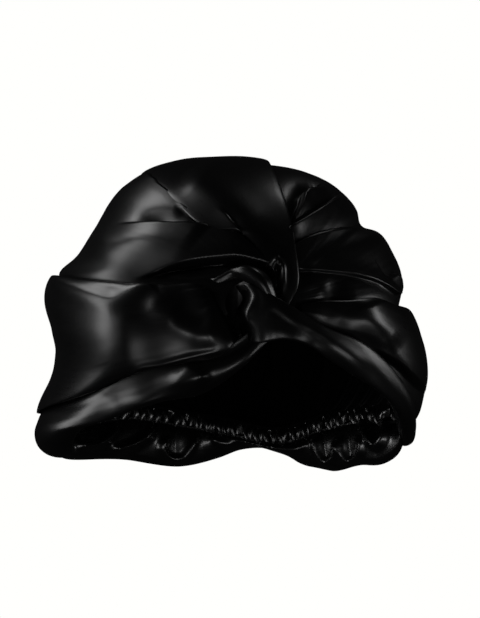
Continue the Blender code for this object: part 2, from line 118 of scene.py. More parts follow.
def outlineReach(across, up):
    outline = np.array(head["outline"])
    bearings = np.unwrap(np.arctan2(outline[:, 1], outline[:, 0]))
    lengths = np.hypot(outline[:, 0], outline[:, 1])
    bearing = (np.arctan2(up, across) - bearings[0]) % (2 * math.pi)
    ends = np.append(bearings - bearings[0], 2 * math.pi)
    closed = np.append(lengths, lengths[0])
    return through(ends, closed[:, None], np.ravel(bearing))[:, 0].reshape(np.shape(across))


def spread(across, up):
    bulge = outlineReach(across, up) - head["middleReach"]
    return head["middleReach"] + bulge * np.hypot(across, up) ** head["outlineHold"]


def form(directions):
    # points of the head form in these unit directions
    across, back, up = np.moveaxis(np.asarray(directions, float), -1, 0)
    far = spread(across, up)
    narrowing = 1.0 - head["pinch"] * smooth(head["pinchFrom"], head["pinchTo"], up) * across**2
    depth = np.where(back < 0.0, head["frontDepth"], head["backDepth"] * narrowing)
    x = far * across * head["width"] / 2
    z = far * up * head["height"] / 2 + middle[2]
    return np.stack((x, depth * back, z), axis=-1)


def outward(directions):
    pole = np.where(np.abs(directions[..., 2:]) < head["steep"], (0.0, 0.0, 1.0), (0.0, 1.0, 0.0))
    first = unit(np.cross(directions, pole)) * head["slopeStep"]
    second = np.cross(directions, first)
    run = form(unit(directions + first)) - form(unit(directions - first))
    rise = form(unit(directions + second)) - form(unit(directions - second))
    return unit(np.cross(run, rise))


def seen(rows):
    # unit directions of places seen from the front, in half sizes; past the outline they go round behind
    rows = np.asarray(rows, float)
    length = np.linalg.norm(rows, axis=-1)
    ray = rows / length[..., None]
    edge = outlineReach(ray[..., 0], ray[..., 1])
    inside = np.minimum(length / edge, 1.0)
    for _ in range(head["settleRounds"]):
        inside = np.minimum(length / spread(ray[..., 0] * inside, ray[..., 1] * inside), 1.0)
    beyond = np.maximum(length / edge - 1.0, 0.0)
    flat = ray * (inside - beyond)[..., None]
    depth = np.sqrt(np.clip(1.0 - (flat**2).sum(axis=-1), 0.0, 1.0))
    return np.stack((flat[..., 0], np.where(beyond > 0.0, depth, -depth), flat[..., 1]), axis=-1)


def nape(shares):
    knots = np.linspace(0.0, 1.0, len(head["napeLine"]))
    return unit(through(knots, unit(head["napeLine"]), np.atleast_1d(shares)))


def gridNormals(grid):
    found = unit(np.cross(np.gradient(grid, axis=0), np.gradient(grid, axis=1)))
    return -found if (found * (grid - middle)).sum() < 0 else found


def sweep(last, run, end, shares):
    # on from the last direction along its run, bending to the end
    run = unit(run - (run * last).sum() * last)
    turn = math.acos(float(np.clip((last * end).sum(), -1.0, 1.0)))
    control = unit(last + run * math.tan(turn / 2))
    shares = np.asarray(shares)[:, None]
    return unit((1 - shares) ** 2 * last + 2 * shares * (1 - shares) * control + shares**2 * end)


# Folds are drawn as lines seen from the front, in millimetres across from the middle and up from the
# foot of the head form. A fold lifts the cloth on the left of its line over the cloth on its right. A
# swell is a soft ridge, or a hollow where its lift is negative. Heights and reaches are in mm as well.
drawing = {
    "pieceLength": 2.5,  # a line is followed in straight pieces about this long
    "fewestPieces": 16,
    # share of the lift, and how squarely the cloth faces forwards where it starts and is full
    "facing": ((0.12, -0.35, 0.10), (0.88, 0.02, 0.42)),
    "foldRoom": (3.0, 4.0),  # reaches and mm round a line that its fold is worked out for
    "foldEnds": (0.12, 0.75),  # shares along between which it is full, where it names none
    "foldEdge": 1.0,
    "foldShape": 1.4,
    "lip": (2.0, 0.8),  # how wide a lip shifts over, in edges and mm
    "swellRoom": 2.6,
    "swellEnds": (0.25, 0.75),
    "puffDepth": (0.055, 0.010),  # metres behind the middle where a puff starts and is full
    "puffStart": 0.9,
}


def alongLine(flat, line):
    # signed distance in mm, positive on the left, the share along, and the way to the left
    rows = np.array(line, float)
    lengths = travelled(rows)
    count = max(drawing["fewestPieces"], int(lengths[-1] / drawing["pieceLength"]))
    path = through(lengths, rows, np.linspace(0.0, lengths[-1], count))
    starts, runs = path[:-1], np.diff(path, axis=0)
    best = np.full(len(flat), np.inf)
    signed, share, left = np.zeros(len(flat)), np.zeros(len(flat)), np.zeros((len(flat), 2))
    for index, (start, run) in enumerate(zip(starts, runs)):
        offset = flat - start
        at = np.clip(offset @ run / (run @ run), 0.0, 1.0)
        off = offset - at[:, None] * run
        away = np.linalg.norm(off, axis=1)
        closer = away < best
        side = np.where(run[0] * off[:, 1] - run[1] * off[:, 0] >= 0, 1.0, -1.0)
        best = np.where(closer, away, best)
        signed = np.where(closer, away * side, signed)
        share = np.where(closer, (index + at) / len(runs), share)
        left[closer] = np.array((-run[1], run[0])) / np.linalg.norm(run)
    return signed, share, left


def nearLine(line, room, flat, facing):
    # which points of the forward cloth lie about a line
    rows = np.array(line, float)
    return ((flat > rows.min(0) - room) & (flat < rows.max(0) + room)).all(1) & (facing > 0.0)


def fullness(share, ends):
    # fades in over the first part of a line and out over its last
    first, last = ends
    fading = smooth(0.0, first, share) if first else np.ones(len(share))
    return fading * (1.0 - smooth(last, 1.0, share)) if last < 1.0 else fading


def bank(height, reach, away):
    # one side of a fold
    return height * np.exp(-((np.maximum(away, 0.0) / reach) ** drawing["foldShape"]))


def hump(signed, reach):
    # 1 on the line of a swell, with a reach of its own to the left and to the right
    width = np.where(signed > 0.0, reach[0], reach[1])
    return np.exp(-((signed / width) ** 2))


def drape(grid, outwards, piece):
    # lifts and tucks the cloth along the piece's folds, swells and puffs
    points = grid.reshape(-1, 3)
    flat = np.stack((points[:, 0], points[:, 2] - middle[2] + head["height"] / 2), axis=1) * 1000.0
    turned = -outwards[..., 1].ravel()
    facing = sum(share * smooth(low, high, turned) for share, low, high in drawing["facing"])
    lift = np.zeros(len(points))
    shift = np.zeros((len(points), 2))
    for fold in piece.get("folds", ()):
        room = drawing["foldRoom"][0] * max(fold["high"][1], fold["low"][1]) + drawing["foldRoom"][1]
        near = nearLine(fold["line"], room, flat, facing)
        signed, share, left = alongLine(flat[near], fold["line"])
        fading = fullness(share, fold.get("ends", drawing["foldEnds"]))
        edge = fold.get("edge", drawing["foldEdge"])
        above = smooth(-edge, edge, signed)
        low = bank(*fold["low"], -signed)
        lift[near] += fading * (above * bank(*fold["high"], signed) - (1.0 - above) * low)
        lip = np.exp(-((signed / (drawing["lip"][0] * edge + drawing["lip"][1])) ** 2))
        over = fold.get("over", 0.0) * fading * lip * above
        shift[near] -= left * over[:, None]
    for swell in piece.get("swells", ()):
        near = nearLine(swell["line"], drawing["swellRoom"] * max(swell["reach"]), flat, facing)
        signed, share, _ = alongLine(flat[near], swell["line"])
        fading = fullness(share, swell.get("ends", drawing["swellEnds"]))
        lift[near] += fading * swell["lift"] * hump(signed, swell["reach"])
    lift = lift * facing
    for puff in piece.get("puffs", ()):
        signed, share, _ = alongLine(flat, puff["line"])
        front = smooth(*drawing["puffDepth"], points[:, 1]) * smooth(0.0, drawing["puffStart"], share)
        lift += front * puff["lift"] * hump(signed, puff["reach"])
    lift = (lift * 0.001).reshape(grid.shape[:2])
    shift = (shift * facing[:, None] * 0.001).reshape(grid.shape[:2] + (2,))
    draped = grid + outwards * lift[..., None]
    draped[..., 0] += shift[..., 0]
    draped[..., 2] += shift[..., 1]
    return draped


wrinkling = {
    "waves": 5,  # of each size
    "across": (0.6, 1.4),  # least and most of a wave's count
    "along": (0.4, 1.6),
    "bend": 0.35,
    "bends": (0.5, 1.5),
    "bendTurn": 3,
    "evening": 2.5,  # shares the height out among the waves
}


def creep(shape, waves, seed):
    # small uneven wrinkles, each wave a count across, a count along and a height in mm
    rng = np.random.default_rng(seed)
    u, v = np.meshgrid(np.linspace(0, 1, shape[0]), np.linspace(0, 1, shape[1]), indexing="ij")
    total = np.zeros(shape)
    for countAcross, countAlong, height in waves:
        for _ in range(wrinkling["waves"]):
            turn = rng.uniform(0, 2 * math.pi, 3)
            across = countAcross * rng.uniform(*wrinkling["across"])
            along = countAlong * rng.uniform(*wrinkling["along"])
            bend = wrinkling["bend"] * np.sin(2 * math.pi * v * rng.uniform(*wrinkling["bends"]) + turn[0])
            wave = np.sin(2 * math.pi * (across * u + along * v) + turn[1] + wrinkling["bendTurn"] * bend)
            total += height * wave / wrinkling["evening"]
    return total * 0.001


def cloth(name, grid, material, values):
    # a sheet along a grid of points, its texture laid out in metres
    rows, columns = grid.shape[:2]
    corner = np.arange(rows * columns).reshape(rows, columns)
    faces = np.stack((corner[:-1, :-1], corner[1:, :-1], corner[1:, 1:], corner[:-1, 1:]), axis=-1)
    mesh = bpy.data.meshes.new(name)
    mesh.from_pydata(grid.reshape(-1, 3).tolist(), [], faces.reshape(-1, 4).tolist())
    down = np.linspace(0.0, values["layout"][0], rows)
    over = np.linspace(0.0, values["layout"][1], columns)
    places = np.stack(np.meshgrid(down, over, indexing="ij"), axis=-1).reshape(-1, 2)
    loops = np.empty(len(mesh.loops), np.int32)
    mesh.loops.foreach_get("vertex_index", loops)
    mesh.uv_layers.new(name="cloth").data.foreach_set("uv", places[loops].ravel())
    mesh.materials.append(material)
    mesh.shade_smooth()
    piece = bpy.data.objects.new(name, mesh)
    bpy.context.scene.collection.objects.link(piece)
    if "thickness" in values:
        thick = piece.modifiers.new("thickness", "SOLIDIFY")
        thick.thickness = values["thickness"]
        thick.offset = 0.0
    return piece


class Wire:
    # a node's output, so that sums on it add Math nodes

    def __init__(self, tree, socket):
        self.tree, self.socket = tree, socket

    def sum(self, operation, first, second):
        return self.node("ShaderNodeMath", {"operation": operation}, {0: first, 1: second})

    def __add__(self, other):
        return self.sum("ADD", self, other)

    def __radd__(self, other):
        return self.sum("ADD", other, self)

    def __sub__(self, other):
        return self.sum("SUBTRACT", self, other)

    def __mul__(self, other):
        return self.sum("MULTIPLY", self, other)

    def node(self, kind, settings=None, sockets=None, out=0):
        made = self.tree.nodes.new(kind)
        for key, value in (settings or {}).items():
            setattr(made, key, value)
        for key, value in (sockets or {}).items():
            if isinstance(value, Wire):
                self.tree.links.new(value.socket, made.inputs[key])
            else:
                made.inputs[key].default_value = value
        return Wire(self.tree, made.outputs[out])


# one satin for all the pieces, glossier on the elastic's casing and the frill
satin = {
    "dark": (0.0020, 0.0020, 0.0022, 1.0),
    "pale": (0.0038, 0.0038, 0.0040, 1.0),
    "clouds": (14.0, 3.0),  # scale and detail of the slow change in colour and gloss
    "slubs": (60.0, 900.0, 1.0),  # streaks to the metre, along and across the threads
    "slubDetail": 2.0,
    "cloudShare": 0.7,
    "slubShare": 0.3,
    "roughnessSpread": 0.08,
    "slubRoughness": 0.06,
    "ribs": 5200.0,  # of the weave, in radians to the metre
    "waveTurn": 20.0,  # which the wave texture puts on its scale
    "twill": 0.46,
    "wobble": (0.4, 1.0),  # distortion and detail of the weave
    "weave": (0.25, 0.00002),  # strength and depth of each bump
    "slubBump": (0.15, 0.00006),
    # roughness and specular level
    "finishes": {
        "crown_satin": (0.31, 0.5),
        "band_satin": (0.30, 0.5),
        "casing_satin": (0.23, 1.0),
        "frill_satin": (0.27, 1.0),
    },
}


def makeSatin(name):
    roughness, gloss = satin["finishes"][name]
    material = bpy.data.materials.new(name)
    material.use_nodes = True
    tree = material.node_tree
    shader = tree.nodes["Principled BSDF"]
    shader.inputs["Specular IOR Level"].default_value = gloss
    start = Wire(tree, None)
    layout = start.node("ShaderNodeTexCoord", out="UV")
    place = start.node("ShaderNodeTexCoord", out="Object")
    scale, detail = satin["clouds"]
    clouds = {"Vector": place, "Scale": scale, "Detail": detail}
    cloud = start.node("ShaderNodeTexNoise", {"noise_dimensions": "3D"}, clouds, "Fac")
    streaky = start.node("ShaderNodeMapping", {}, {"Vector": layout, "Scale": satin["slubs"]})
    slubs = {"Vector": streaky, "Scale": 1.0, "Detail": satin["slubDetail"]}
    slub = start.node("ShaderNodeTexNoise", {"noise_dimensions": "2D"}, slubs, "Fac")
    # the Mix node's colours go in at 6 and 7 and come out at 2
    share = cloud * satin["cloudShare"] + slub * satin["slubShare"]
    colours = {"Factor": share, 6: satin["dark"], 7: satin["pale"]}
    tone = start.node("ShaderNodeMix", {"data_type": "RGBA"}, colours, 2)
    tree.links.new(tone.socket, shader.inputs["Base Color"])
    slow = (cloud - 0.5) * satin["roughnessSpread"]
    rough = roughness + slow + (slub - 0.5) * satin["slubRoughness"]
    tree.links.new(rough.socket, shader.inputs["Roughness"])
    twill = start.node("ShaderNodeMapping", {}, {"Vector": layout, "Rotation": (0.0, 0.0, satin["twill"])})
    distortion, detail = satin["wobble"]
    scale = satin["ribs"] / satin["waveTurn"]
    weave = start.node(
        "ShaderNodeTexWave",
        {"wave_type": "BANDS", "bands_direction": "X", "wave_profile": "SIN"},
        {"Vector": twill, "Scale": scale, "Distortion": distortion, "Detail": detail},
        "Fac",
    )
    strength, depth = satin["weave"]
    fine = start.node("ShaderNodeBump", {}, {"Strength": strength, "Distance": depth, "Height": weave})
    strength, depth = satin["slubBump"]
    bumps = {"Strength": strength, "Distance": depth, "Height": slub, "Normal": fine}
    both = start.node("ShaderNodeBump", {}, bumps)
    tree.links.new(both.socket, shader.inputs["Normal"])
    return material


crownSatin = makeSatin("crown_satin")
bandSatin = makeSatin("band_satin")
casingSatin = makeSatin("casing_satin")
frillSatin = makeSatin("frill_satin")
print("materials made")

crown = {
    "around": 440,
    "along": 220,
    "front": 0.36,  # share of the way from the knot to the nape that lies before the shoulder
    "frontSteps": 0.60,  # and its share of the steps
    # where the pleats start round the knot, in half sizes and degrees
    "knot": (0.15, 0.05),
    "opening": (0.17, 0.15),
    "arc": (205.0, -32.0),
    # share of the way round, across, back, up
    "shoulder": (
        (0.00, -0.48, -0.76, -0.44), (0.06, -0.90, -0.30, -0.42), (0.13, -0.99, 0.00, -0.12),
        (0.24, -0.94, 0.00, 0.34), (0.36, -0.62, 0.00, 0.78), (0.48, -0.06, 0.00, 1.00),
        (0.60, 0.46, 0.00, 0.88), (0.73, 0.84, 0.00, 0.54), (0.86, 0.99, 0.00, 0.06),
        (0.94, 0.92, -0.30, -0.34), (1.00, 0.64, -0.70, -0.30),
    ),
    "folds": (
        # upper left: the crease up to the fold's tip, the small one inside it, the wide fold's top
        {"line": ((-12, 163), (-20, 169), (-38, 186), (-57, 204), (-68, 215)),
         "high": (3.6, 15), "low": (3.6, 8), "over": 0.8, "ends": (0.10, 0.80)},
        {"line": ((-36, 178), (-25, 172), (-14, 164)),
         "high": (1.6, 4), "low": (2.6, 3.5), "ends": (0.3, 0.8)},
        {"line": ((18, 149), (7, 158), (-8, 163), (-30, 166), (-52, 168), (-78, 167)),
         "high": (2.4, 15), "low": (2.6, 6), "over": 0.8, "edge": 0.8, "ends": (0.0, 0.65)},
        # the wide fold's lower lip over the hollow beside the knot
        {"line": ((-64, 129), (-52, 133), (-40, 138), (-26, 141.5), (-8, 143.5), (9, 144), (24, 141)),
         "high": (4.5, 10), "low": (12.0, 9), "over": 2.5, "edge": 1.3, "ends": (0.5, 1.0)},
        # upper right: the leaf, the long pleat, the dome over the side and its hooked lip
        {"line": ((66, 198), (59, 193), (51, 189.5), (48.5, 182.5), (44, 173), (41, 166)),
         "high": (3.4, 6), "low": (4.5, 6), "over": 0.6, "edge": 1.4, "ends": (0.35, 1.0)},
        {"line": ((79, 190), (71.5, 184.8), (56, 174.4), (41, 164)),
         "high": (3.2, 8), "low": (3.6, 8), "over": 0.6, "edge": 1.1, "ends": (0.3, 1.0)},
        {"line": ((118, 158), (95, 165), (77, 164.5), (58, 160), (42, 152)),
         "high": (1.8, 16), "low": (1.8, 6), "over": 0.6, "edge": 0.9, "ends": (0.2, 1.0)},
        {"line": ((42, 136.3), (60, 135.5), (77, 134), (90, 131.5), (99, 128.6), (106, 124.2),
                  (112.5, 121), (116.3, 124), (115.3, 130), (110, 136)),
         "high": (2.6, 6), "low": (1.0, 4), "over": 0.8, "edge": 0.9, "ends": (0.0, 0.95)},
    ),
    "swells": (
        {"line": ((18, 150), (-20, 152), (-60, 154), (-104, 148)),
         "lift": 3.8, "reach": (12, 12), "ends": (0.15, 0.8)},
        {"line": ((-26, 165), (-46, 168), (-66, 168.5)),
         "lift": -3.0, "reach": (1.0, 6.0), "ends": (0.5, 0.5)},
        {"line": ((66, 112), (86, 113), (114, 109)), "lift": 5.0, "reach": (14, 8), "ends": (0.35, 0.9)},
        {"line": ((96, 130), (106, 125), (112, 122), (116, 125), (115, 131), (110, 136)),
         "lift": 1.2, "reach": (2.2, 2.2), "ends": (0.3, 0.8)},
        {"line": ((46, 134), (58, 127), (70, 119)), "lift": 2.4, "reach": (8, 8), "ends": (0.4, 0.6)},
    ),
    # swells that hold round the side as well
    "puffs": (
        {"line": ((-40, 131), (-80, 133), (-124, 133)), "lift": 6.0, "reach": (7, 10)},
    ),
    # at the knot, at the nape, half width, depth, from, to
    "pleats": (
        (0.17, 0.20, 0.020, 1.0, 0.30, 0.95), (0.27, 0.28, 0.022, 0.9, 0.34, 0.92),
        (0.35, 0.36, 0.018, 1.1, 0.36, 0.96), (0.42, 0.43, 0.020, 0.8, 0.46, 0.94),
        (0.52, 0.51, 0.018, 0.9, 0.44, 0.96), (0.62, 0.60, 0.020, 1.1, 0.34, 0.93),
        (0.71, 0.69, 0.018, 0.8, 0.30, 0.95), (0.79, 0.77, 0.020, 1.0, 0.32, 0.92),
        (0.88, 0.86, 0.016, 0.8, 0.36, 0.94),
    ),
    "pleatDepth": 0.006,
    "pleatFade": 0.11,
    "pleatShape": 1.5,
    "gathers": 62,
    "gatherSeed": 4,
    "gatherDepth": 0.0014,
    # least, most, and the marks round the crown at which chance changes them
    "gatherStray": (-0.9, 0.9, 60),
    "gatherHeight": (0.55, 1.00, 90),
    "gatherStart": (0.66, 0.86, 70),
    "gatherRun": 0.22,  # share of the length over which a gather deepens
    "gatherEnd": 0.985,
    "wrinkles": ((14, 1.5, 0.10), (50, 3, 0.025)),
    "wrinkleSeed": 11,
    "wrinkleStart": 0.05,
    "layout": (0.62, 0.40),  # metres of texture down and over the grid
}


def crownGrid():
    u = np.linspace(0.0, 1.0, crown["around"])
    steps = np.linspace(0.0, 1.0, crown["along"])
    v = np.interp(steps, (0.0, crown["frontSteps"], 1.0), (0.0, crown["front"], 1.0))
    bearings = np.radians(np.interp(u, (0.0, 1.0), crown["arc"]))
    ring = np.stack((np.cos(bearings), np.sin(bearings)), axis=-1)
    starts = seen(np.array(crown["knot"]) + ring * crown["opening"])
    table = np.array(crown["shoulder"])
    shoulders = unit(through(table[:, 0], table[:, 1:], u))
    before = v[v < crown["front"]] / crown["front"]
    after = (v[v >= crown["front"]] - crown["front"]) / (1.0 - crown["front"])
    directions = []
    for start, shoulder, end in zip(starts, shoulders, nape(u)):
        front = unit(start + (shoulder - start) * before[:, None])
        directions.append(np.vstack((front, sweep(shoulder, shoulder - start, end, after))))
    grid = form(np.stack(directions))
    across, down = np.meshgrid(u, v, indexing="ij")
    outwards = gridNormals(grid)
    inward = np.zeros(across.shape)
    for knotEnd, napeEnd, halfWidth, depth, first, last in crown["pleats"]:
        off = np.abs(across - (knotEnd + (napeEnd - knotEnd) * down)) / halfWidth
        starting = smooth(first, first + crown["pleatFade"], down)
        ending = 1.0 - smooth(last - crown["pleatFade"], last, down)
        inward += crown["pleatDepth"] * depth * (starting * ending) * np.exp(-(off ** crown["pleatShape"]))
    rng = np.random.default_rng(crown["gatherSeed"])
    stray = uneven(rng, crown["gatherStray"], across)
    phase = 2 * math.pi * (crown["gathers"] * across + stray)
    tall = uneven(rng, crown["gatherHeight"], across)
    starting = smooth(0.0, crown["gatherRun"], down - uneven(rng, crown["gatherStart"], across))
    ending = 1.0 - smooth(crown["gatherEnd"], 1.0, down)
    inward += crown["gatherDepth"] * tall * (0.5 - 0.5 * np.cos(phase)) * starting * ending
    grid = drape(grid, outwards, crown)
    wrinkles = creep(across.shape, crown["wrinkles"], crown["wrinkleSeed"])
    return grid + outwards * (wrinkles * smooth(0.0, crown["wrinkleStart"], down) - inward)[..., None]


crownPiece = cloth("crown_cloth", crownGrid(), crownSatin, crown)
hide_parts("crown")
print("crown draped")

# how far across a band and the share of its loft, with both edges rolled or only one
rolled = (
    (0.10, -0.25), (0.045, -0.10), (0.010, 0.06), (0.000, 0.26), (0.012, 0.44), (0.045, 0.58),
    (0.12, 0.72), (0.28, 0.90), (0.50, 1.00), (0.72, 0.90), (0.88, 0.72), (0.955, 0.58),
    (0.988, 0.44), (1.000, 0.26), (0.990, 0.06), (0.955, -0.10), (0.90, -0.25),
)
lowerRolled = (
    (0.10, -0.25), (0.045, -0.10), (0.010, 0.06), (0.000, 0.26), (0.012, 0.44), (0.045, 0.60),
    (0.12, 0.78), (0.26, 0.94), (0.42, 0.98), (0.62, 0.72), (0.82, 0.22), (1.00, -0.05),
)
upperRolled = tuple((1.0 - across, rise) for across, rise in reversed(lowerRolled))
# rolled, with its lower edge turned well in to the band behind
turnedIn = ((0.20, -1.15), (0.11, -0.85)) + rolled[1:]

laying = {
    "front": 0.62,  # share of its length that a band with a tail has in front
    "tailAbove": (0.0, 0.0, 0.14),  # from the elastic's line to the tail's end
    "loftWeight": 0.35,  # against width, where points are spaced across a section
    "hem": (0.3, 1.15),  # lofts below its edge where a hem starts to turn in and is full
    "flush": 0.5,  # share of the width that sinks into the crown
    "endWave": 0.10,  # share of the length that its wave reaches
    "wrinkles": (0.05, 0.3),  # lofts up where wrinkles start and are full
}

centreStrap = {
    "section": rolled,
    "loft": 4.0,  # in mm
    "steps": (330, 70),
    # lower across, up, upper across, up, in half sizes from the knot outwards
    "edges": (
        (0.235, 0.03, 0.285, 0.03), (0.215, 0.23, 0.330, 0.14), (0.150, 0.31, 0.335, 0.24),
        (0.070, 0.44, 0.322, 0.36), (-0.11, 0.495, 0.310, 0.47), (-0.27, 0.655, 0.290, 0.59),
        (-0.38, 0.775, 0.255, 0.74), (-0.47, 0.88, 0.215, 0.87), (-0.54, 0.97, 0.180, 0.94),
    ),
    "tail": (0.40, 0.56),  # shares along the elastic's line where the edges end
    # share along, layers below, share of the loft
    "rise": (
        (0.00, 1.0, 0.1), (0.08, 1.0, 0.8), (0.25, 0.6, 1.0), (0.62, 0.5, 1.0), (0.90, 0.9, 0.4),
        (1.00, 0.9, 0.2),
    ),
    "folds": (
        # the slit of the loop above the knot, and the crease that opens towards it on the left
        {"line": ((33.5, 119), (34.5, 130), (32.5, 141), (30.5, 144)),
         "high": (1.6, 2.5), "low": (0.0, 2), "ends": (0.1, 0.9)},
        {"line": ((14, 153), (8, 160), (1, 169), (-8, 178)),
         "high": (1.2, 6), "low": (2.2, 5), "over": 0.5, "edge": 0.8, "ends": (0.0, 0.5)},
    ),
    "swells": (
        {"line": ((32.2, 118), (32.4, 130), (32.2, 140)),
         "lift": -6.0, "reach": (1.6, 1.6), "ends": (0.2, 0.9)},
        {"line": ((28.5, 120), (28.6, 131), (29.4, 140), (32.2, 143.5), (35, 140), (36, 131), (36.5, 120)),
         "lift": 1.6, "reach": (1.8, 1.5), "ends": (0.1, 0.8)},
        {"line": ((22, 148), (12, 163), (-3, 179), (-19, 194), (-30, 205)),
         "lift": 3.2, "reach": (11, 16), "ends": (0.3, 0.8)},
    ),
    "flush": (0.28, 0.50, 2.2),  # shares along where the left edge sinks into the crown, and mm
    "wrinkles": ((1.2, 2.0, 0.12), (3.0, 6, 0.03)),
    "layout": (0.48, 0.12),
}
leftBand = {
    "section": turnedIn,
    "loft": 8.0,
    "steps": (300, 120),
    "edges": (
        (0.05, -0.16, -0.08, 0.12), (-0.04, -0.25, -0.13, 0.15), (-0.24, -0.30, -0.30, 0.15),
        (-0.40, -0.34, -0.45, 0.155), (-0.65, -0.49, -0.62, 0.17), (-0.84, -0.60, -0.76, 0.18),
        (-0.95, -0.70, -0.87, 0.18),
    ),
    "tail": (0.23, 0.38),
    "rise": (
        (0.00, -0.6, -0.4), (0.008, 1.3, 0.1), (0.02, 1.9, 0.3), (0.07, 2.0, 0.6), (0.30, 2.0, 1.0),
        (0.45, 2.8, 0.6), (0.58, 3.0, 0.4), (0.74, 2.4, 0.4), (0.90, 1.8, 0.4), (1.00, 1.6, 0.2),
    ),
    # share along, layers turned in
    "hem": ((0.00, 8.0), (0.06, 7.0), (0.16, 3.0), (0.30, 0.0), (1.00, 0.0)),
    "folds": (
        # pleats that fan out from the knot
        {"line": ((-8, 123), (-14, 119.5), (-24, 117)),
         "high": (0.7, 2.5), "low": (0.5, 2), "edge": 0.8, "ends": (0.15, 0.5)},
        {"line": ((-8, 121), (-13, 115), (-20, 110)),
         "high": (0.7, 2.5), "low": (0.5, 2), "edge": 0.8, "ends": (0.15, 0.5)},
        {"line": ((-8, 125), (-20, 124), (-36, 122)),
         "high": (0.8, 3), "low": (0.6, 3), "edge": 0.8, "ends": (0.1, 0.4)},
    ),
    "swells": (
        # a V below the top edge, the upright ridge, the slanting ridge, the full part beside the knot,
        # the rolled lower edge, and the hollow above the slanting ridge
        {"line": ((-124, 134), (-104, 124), (-89, 118.5), (-77, 116), (-67, 120), (-51, 131)),
         "lift": 2.9, "reach": (6, 8), "ends": (0.05, 0.95)},
        {"line": ((-69, 121), (-71, 100), (-70, 82), (-64, 60)),
         "lift": 3.0, "reach": (11, 26), "ends": (0.3, 0.7)},
        {"line": ((-2, 92), (-24, 98), (-42, 109), (-54, 123)),
         "lift": 3.2, "reach": (9, 9), "ends": (0.3, 0.8)},
        {"line": ((8, 88), (-8, 90), (-26, 96)), "lift": 2.4, "reach": (12, 8), "ends": (0.2, 0.5)},
        {"line": ((-59, 64), (-63, 66), (-61, 69), (-46, 73), (-28, 78), (-2, 84)),
         "lift": 1.4, "reach": (2.4, 2.4), "ends": (0.15, 0.85)},
        {"line": ((-10, 101), (-24, 104), (-38, 110)), "lift": -2.0, "reach": (7, 7), "ends": (0.3, 0.7)},
    ),
    "wrinkles": ((2.5, 2.0, 0.14), (7.0, 5, 0.03)),
    "layout": (0.36, 0.12),
}
leftBrim = {
    # rolled below, with its upper edge turned well in
    "section": (
        (0.10, -0.25), (0.045, -0.10), (0.010, 0.06), (0.000, 0.26), (0.012, 0.44), (0.045, 0.62),
        (0.12, 0.84), (0.24, 0.98), (0.38, 0.90), (0.52, 0.60), (0.66, 0.25), (0.82, 0.02), (1.00, -0.05),
        (0.98, -0.60), (0.90, -1.15),
    ),
    "loft": 8.0,
    "steps": (240, 70),
    "edges": (
        (0.20, -0.17, 0.18, -0.04), (0.03, -0.36, -0.04, -0.22), (-0.14, -0.485, -0.24, -0.25),
        (-0.30, -0.52, -0.40, -0.29), (-0.50, -0.59, -0.65, -0.43), (-0.69, -0.67, -0.88, -0.57),
        (-0.78, -0.84, -1.01, -0.76),
    ),
    "tail": None,  # it ends with its last edges
    "rise": (
        (0.00, 0.4, 0.0), (0.12, 1.0, 0.5), (0.30, 1.0, 0.8), (0.60, 1.0, 1.0), (0.85, 2.2, 1.0),
        (1.00, 2.6, 0.2),
    ),
    "hem": ((0.00, 5.0), (0.16, 6.0), (0.26, 4.2), (0.40, 0.0), (1.00, 0.0)),
    "folds": (
        # the long soft fold over the left end
        {"line": ((-44, 56), (-62, 49.5), (-78, 49.5), (-90, 56)),
         "high": (0.8, 8), "low": (0.6, 6), "edge": 3.0, "ends": (0.4, 0.6)},
    ),
    "swells": (
        # the full part that ends at the dark wedge near the knot
        {"line": ((-6, 76), (-20, 70), (-36, 64), (-52, 60)),
         "lift": 2.4, "reach": (7, 7), "ends": (0.45, 0.55)},
        {"line": ((-34, 78), (-24, 71), (-12, 62)), "lift": 3.0, "reach": (4, 13), "ends": (0.35, 0.65)},
        # the hollow left of it, over the left end
        {"line": ((-58, 56), (-72, 50), (-88, 42), (-100, 34)),
         "lift": -1.8, "reach": (8, 9), "ends": (0.4, 0.5)},
    ),
    "wrinkles": ((1.5, 3.0, 0.12), (4.0, 9, 0.02)),
    "layout": (0.20, 0.05),
}
rightBand = {
    "section": upperRolled,
    "loft": 8.0,
    "steps": (280, 90),
    "edges": (
        (0.34, -0.06, 0.35, 0.04), (0.47, -0.16, 0.45, 0.06), (0.65, -0.28, 0.56, 0.065),
        (0.76, -0.42, 0.69, 0.085), (0.83, -0.58, 0.785, 0.05), (0.88, -0.67, 0.86, 0.01),
        (0.91, -0.72, 0.90, -0.04),
    ),
    "tail": (0.79, 0.66),
    "rise": (
        (0.00, 1.0, 0.2), (0.12, 1.0, 0.7), (0.30, 1.0, 1.0), (0.62, 1.8, 0.8), (0.90, 1.8, 0.4),
        (1.00, 1.6, 0.2),
    ),
    "folds": (
        {"line": ((96, 84), (113, 74), (125, 63), (138, 50)),
         "high": (2.6, 10), "low": (3.5, 9), "over": 0.6, "edge": 1.2, "ends": (0.3, 1.0)},
    ),
    "swells": (
        {"line": ((90, 119), (95, 106), (103, 93), (114, 82)),
         "lift": 2.4, "reach": (12, 9), "ends": (0.2, 0.7)},
        {"line": ((58, 113), (68, 104), (82, 94)), "lift": -1.2, "reach": (7, 8), "ends": (0.4, 0.6)},
    ),
    "wrinkles": ((2.0, 2.0, 0.14), (6.0, 5, 0.03)),
    "layout": (0.32, 0.09),
}
